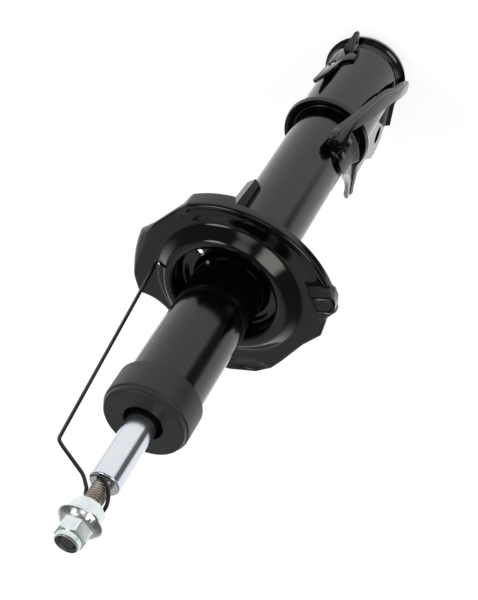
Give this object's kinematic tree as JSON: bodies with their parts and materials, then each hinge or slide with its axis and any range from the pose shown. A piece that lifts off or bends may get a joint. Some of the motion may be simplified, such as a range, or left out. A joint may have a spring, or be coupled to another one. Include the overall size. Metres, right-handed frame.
{
  "type": "strut assembly",
  "caption": "Front suspension strut: damper tube with flared knuckle bracket, round spring seat, capped top, chromed rod with nuts and a wire that holds the rod pushed in.",
  "frame": {"origin": "centre of the tube's bottom face, on the strut's axis", "axes": "+Z along the strut towards the rod's stud; +X along the knuckle bolts, towards the side with the side bracket; the knuckle enters between the flanges from -Y"},
  "size_m": [0.1537, 0.1496, 0.5218],
  "materials": {
    "black_paint": "gloss",
    "cap_black": "matte",
    "chrome_rod": "polished",
    "zinc": "bright",
    "wire_steel": "satin",
    "bare_steel": "satin",
    "sintered_iron": "matte",
    "bronze": "satin",
    "ptfe_band": "matte",
    "seal_rubber": "matte",
    "nylon_blue": "matte"
  },
  "bodies": {
    "strut_body": {"reservoir_tube": "black_paint", "base_cap": "black_paint", "pressure_tube": "bare_steel", "base_valve": "sintered_iron", "base_valve_disc": "bare_steel", "rod_guide": "sintered_iron", "guide_bush": "bronze", "rod_seal": "seal_rubber", "seal_washer": "bare_steel", "bump_cap": "cap_black", "knuckle_bracket": "black_paint", "inner_bracket": "black_paint", "bracket_weld": "black_paint", "side_bracket": "black_paint", "side_bracket_plug": "black_paint", "hose_bracket": "black_paint", "spring_seat": "black_paint", "seat_legs": "black_paint", "spring_stop": "black_paint"},
    "piston_slider": {"piston_band": "ptfe_band"},
    "rod": {"piston": "sintered_iron", "valve_shims": "bare_steel", "piston_nut": "bare_steel", "rebound_stop": "bare_steel", "rebound_bumper": "seal_rubber", "piston_rod": "chrome_rod", "hex_nut": "zinc", "flange_nut": "zinc", "nylon_insert": "nylon_blue"},
    "wire": {"retaining_wire": "wire_steel"}
  },
  "joints": [
    {"name": "rod_slide", "type": "slide", "parent": "strut_body", "child": "piston_slider", "axis": [0, 0, 1], "range_m": [0, 0.15]},
    {"name": "rod_turn", "type": "hinge", "parent": "piston_slider", "child": "rod", "pos_m": [0, 0, 0.4], "axis": [0, 0, 1], "range_deg": [-40, 40]},
    {"name": "wire_swing", "type": "hinge", "parent": "strut_body", "child": "wire", "pos_m": [-0.05247, 0.00183, 0.2961], "axis": [-0.0349, -0.9994, 0], "range_deg": [0, 76]}
  ],
  "couplings": [
    {"joint": "wire_swing", "follows": "rod_slide", "rad_per_m": 8.7266}
  ]
}
